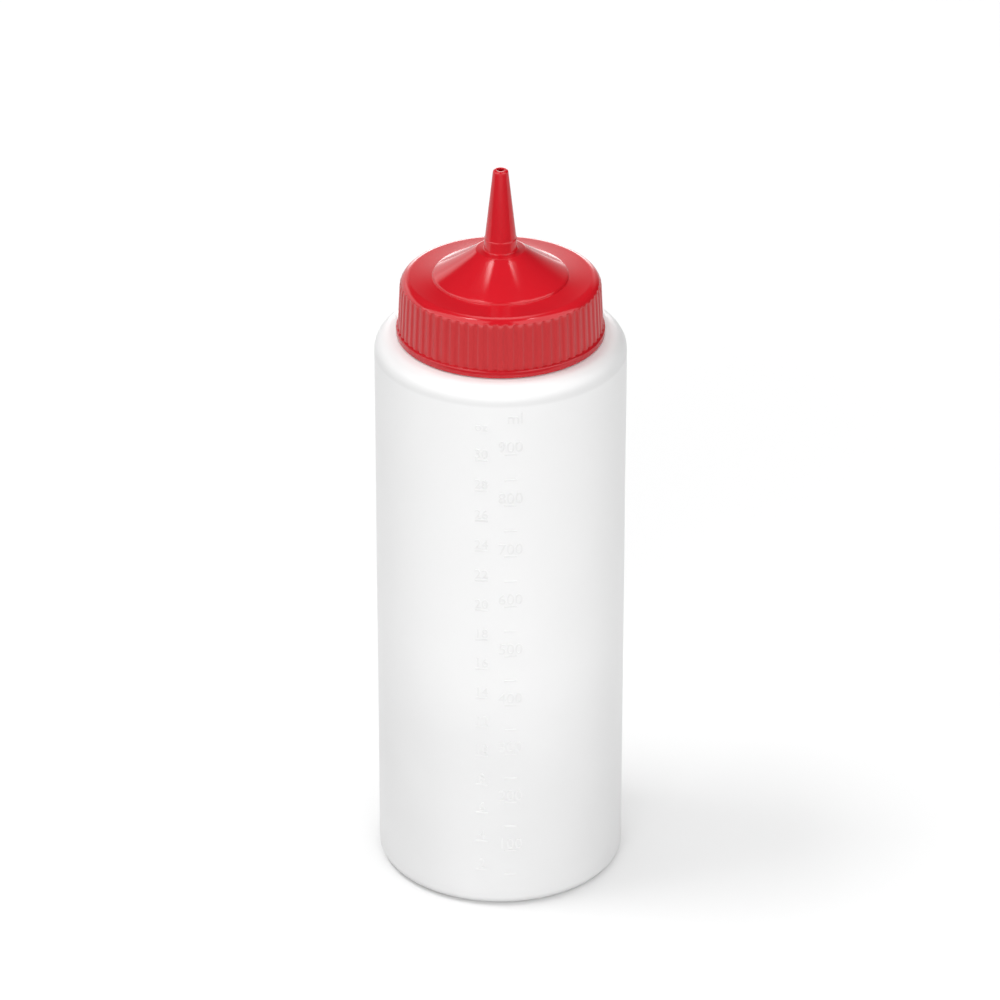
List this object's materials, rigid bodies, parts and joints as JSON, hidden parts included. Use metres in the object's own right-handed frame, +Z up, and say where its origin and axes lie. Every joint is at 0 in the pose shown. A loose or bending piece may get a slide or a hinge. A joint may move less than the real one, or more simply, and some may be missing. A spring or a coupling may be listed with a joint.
{
  "type": "squeeze bottle",
  "caption": "Empty translucent wide-mouth squeeze bottle with a moulded measuring scale and a ribbed red screw cap whose hollow cone nozzle is open at its tip.",
  "frame": {"origin": "centre of the ring that the bottle stands on, at the surface it stands on", "axes": "+Z up along the axis of the bottle towards the nozzle, -Y the side with the measuring scale"},
  "size_m": [0.084, 0.084, 0.2577],
  "materials": {
    "natural_ldpe": "translucent natural polyethylene, satin",
    "red_cap": "opaque red moulded plastic, glossy"
  },
  "bodies": {
    "root": {"bottle": "natural_ldpe", "cap": "red_cap"}
  },
  "joints": []
}
